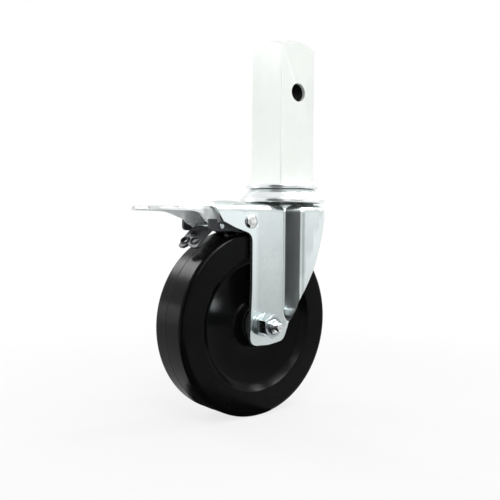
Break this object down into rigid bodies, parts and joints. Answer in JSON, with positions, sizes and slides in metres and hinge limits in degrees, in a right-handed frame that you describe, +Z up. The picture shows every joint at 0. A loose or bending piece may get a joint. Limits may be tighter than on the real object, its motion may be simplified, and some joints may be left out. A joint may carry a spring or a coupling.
{
  "type": "swivel castor",
  "caption": "Scaffold castor with square tube stem, ball race swivel head, pressed fork, hard rubber wheel and a pedal brake that stops wheel and swivel.",
  "frame": {"origin": "on the swivel axis at the top face of the mounting disc, where the scaffold tube rests", "axes": "+Z up along the square stem; the wheel and pedal trail towards -X; the axle nut and grease nipple are on the -Y side"},
  "size_m": [0.1472, 0.0682, 0.2584],
  "materials": {
    "stem_tube_zinc": "bright zinc plating on steel, satin",
    "weld_bead_front_zinc": "bright zinc plating on steel, satin",
    "weld_bead_back_zinc": "bright zinc plating on steel, satin",
    "mounting_disc_zinc": "bright zinc plating on steel, satin",
    "race_cap_zinc": "bright zinc plating on steel, satin",
    "bright_steel": "polished steel",
    "fastener_zinc": "bright zinc plating on steel, satin",
    "fork_yoke_zinc": "bright zinc plating on steel, satin",
    "cage_nylon": "natural nylon",
    "bearing_steel": "ground bearing steel",
    "wheel_rubber_black": "glossy moulded hard rubber",
    "brake_lever_oxide": "black oxide on pressed steel, satin",
    "pedal_zinc": "bright zinc plating on steel, satin"
  },
  "bodies": {
    "stem": {"stem_tube": "stem_tube_zinc", "weld_bead_front": "weld_bead_front_zinc", "weld_bead_back": "weld_bead_back_zinc", "mounting_disc": "mounting_disc_zinc", "race_cap": "race_cap_zinc", "king_pin": "bright_steel", "lower_race": "bright_steel", "swivel_lock_ring": "bright_steel", "king_pin_nut": "fastener_zinc"},
    "fork": {"fork_yoke": "fork_yoke_zinc", "upper_ball_01": "bright_steel", "upper_ball_02": "bright_steel", "upper_ball_03": "bright_steel", "upper_ball_04": "bright_steel", "upper_ball_05": "bright_steel", "upper_ball_06": "bright_steel", "upper_ball_07": "bright_steel", "upper_ball_08": "bright_steel", "upper_ball_09": "bright_steel", "upper_ball_10": "bright_steel", "upper_ball_11": "bright_steel", "upper_ball_12": "bright_steel", "lower_ball_01": "bright_steel", "lower_ball_02": "bright_steel", "lower_ball_03": "bright_steel", "lower_ball_04": "bright_steel", "lower_ball_05": "bright_steel", "lower_ball_06": "bright_steel", "lower_ball_07": "bright_steel", "lower_ball_08": "bright_steel", "upper_ball_cage": "cage_nylon", "lower_ball_cage": "cage_nylon", "axle_bolt": "fastener_zinc", "axle_lock_washer": "fastener_zinc", "axle_nut": "fastener_zinc", "grease_nipple": "bright_steel", "axle_sleeve": "bearing_steel", "thrust_washer_near": "bearing_steel", "thrust_washer_far": "bearing_steel", "pivot_pin": "bright_steel", "pivot_spacer_near": "bright_steel", "pivot_spacer_far": "bright_steel", "return_spring": "bright_steel"},
    "wheel": {"wheel_rubber": "wheel_rubber_black", "bearing_shell": "bearing_steel", "roller_cage": "bearing_steel", "roller_01": "bearing_steel", "roller_02": "bearing_steel", "roller_03": "bearing_steel", "roller_04": "bearing_steel", "roller_05": "bearing_steel", "roller_06": "bearing_steel", "roller_07": "bearing_steel", "roller_08": "bearing_steel"},
    "lever": {"brake_lever": "brake_lever_oxide", "toggle_pin": "fastener_zinc"},
    "pedal": {"pedal": "pedal_zinc"}
  },
  "joints": [
    {"name": "swivel", "type": "hinge", "parent": "stem", "child": "fork", "pos_m": [0, 0, 0], "axis": [0, 0, 1], "continuous": true},
    {"name": "wheel_spin", "type": "hinge", "parent": "fork", "child": "wheel", "pos_m": [-0.034, 0, -0.0957], "axis": [0, 1, 0], "continuous": true},
    {"name": "brake_pivot", "type": "hinge", "parent": "fork", "child": "lever", "pos_m": [-0.045, 0, -0.0263], "axis": [0, -1, 0], "range_deg": [0, 8], "deforming": ["return_spring"]},
    {"name": "pedal_toggle", "type": "hinge", "parent": "lever", "child": "pedal", "pos_m": [-0.0665, 0, -0.0294], "axis": [0, -1, 0], "range_deg": [0, 12]}
  ],
  "couplings": [
    {"joint": "pedal_toggle", "follows": "brake_pivot", "ratio": 1.5}
  ]
}
